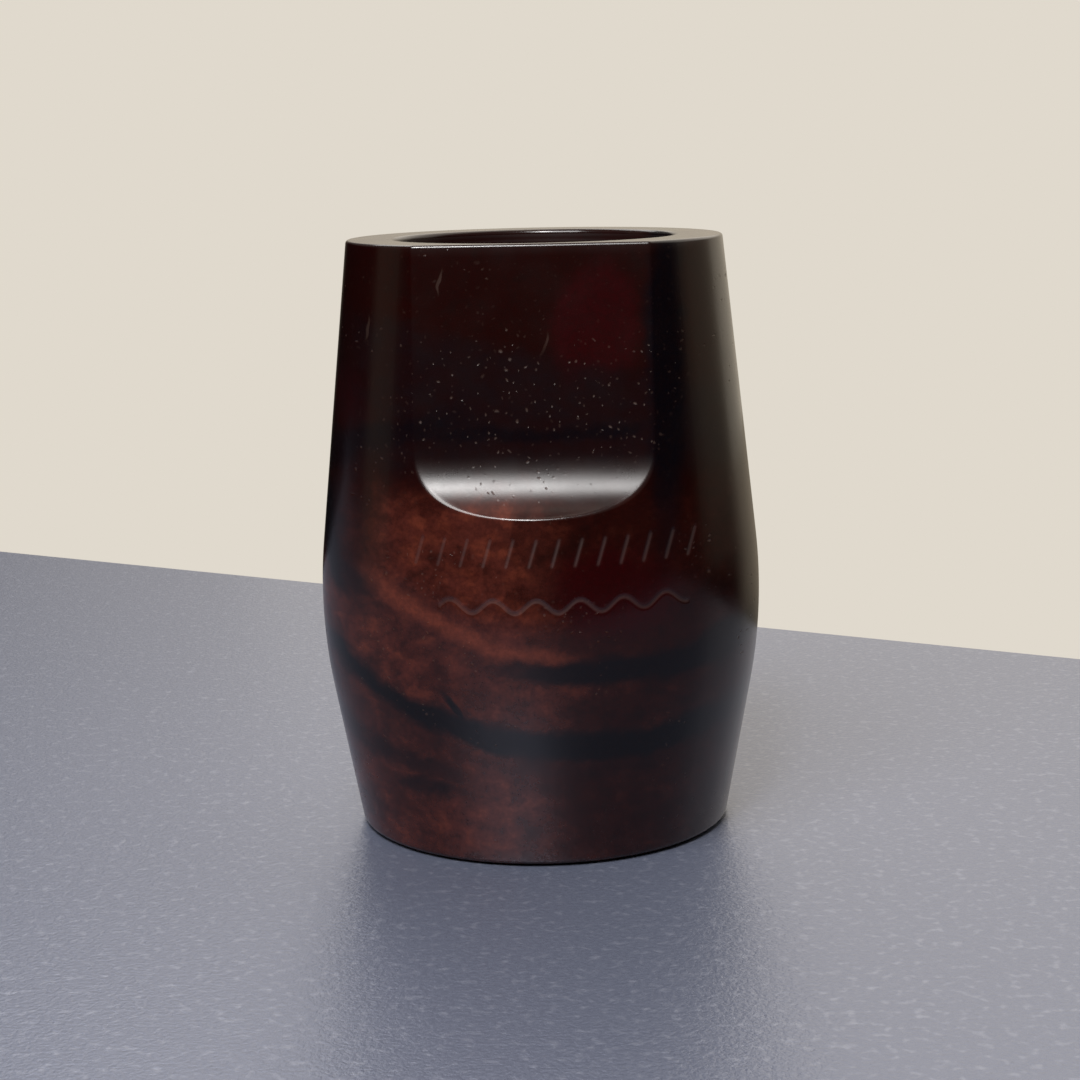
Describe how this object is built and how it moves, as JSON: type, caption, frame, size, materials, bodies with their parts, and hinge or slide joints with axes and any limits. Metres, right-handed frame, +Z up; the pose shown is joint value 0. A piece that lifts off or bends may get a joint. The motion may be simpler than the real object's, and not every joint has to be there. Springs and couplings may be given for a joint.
{
  "type": "dip pen holder",
  "caption": "Turned and polished wooden barrel that stands on a desk and holds pens upright in a wide bore, with a milled flat ending in a scoop on its front.",
  "frame": {"origin": "middle of the underside of the foot pad, where the holder stands on the desk", "axes": "+Z up along the bore, towards the open mouth; the milled flat faces -Y; +X to the viewer's right when facing the flat"},
  "size_m": [0.0374, 0.0374, 0.05],
  "materials": {
    "polished_rosewood": "high polish over oiled dark rosewood",
    "turned_rosewood": "turned, waxed, not polished",
    "felt": "pressed wool felt",
    "leather": "thin vegetable-tanned leather, flesh side down"
  },
  "bodies": {
    "root": {"barrel": "polished_rosewood", "floor_plug": "turned_rosewood", "nib_pad": "felt", "foot_pad": "leather"}
  },
  "joints": []
}
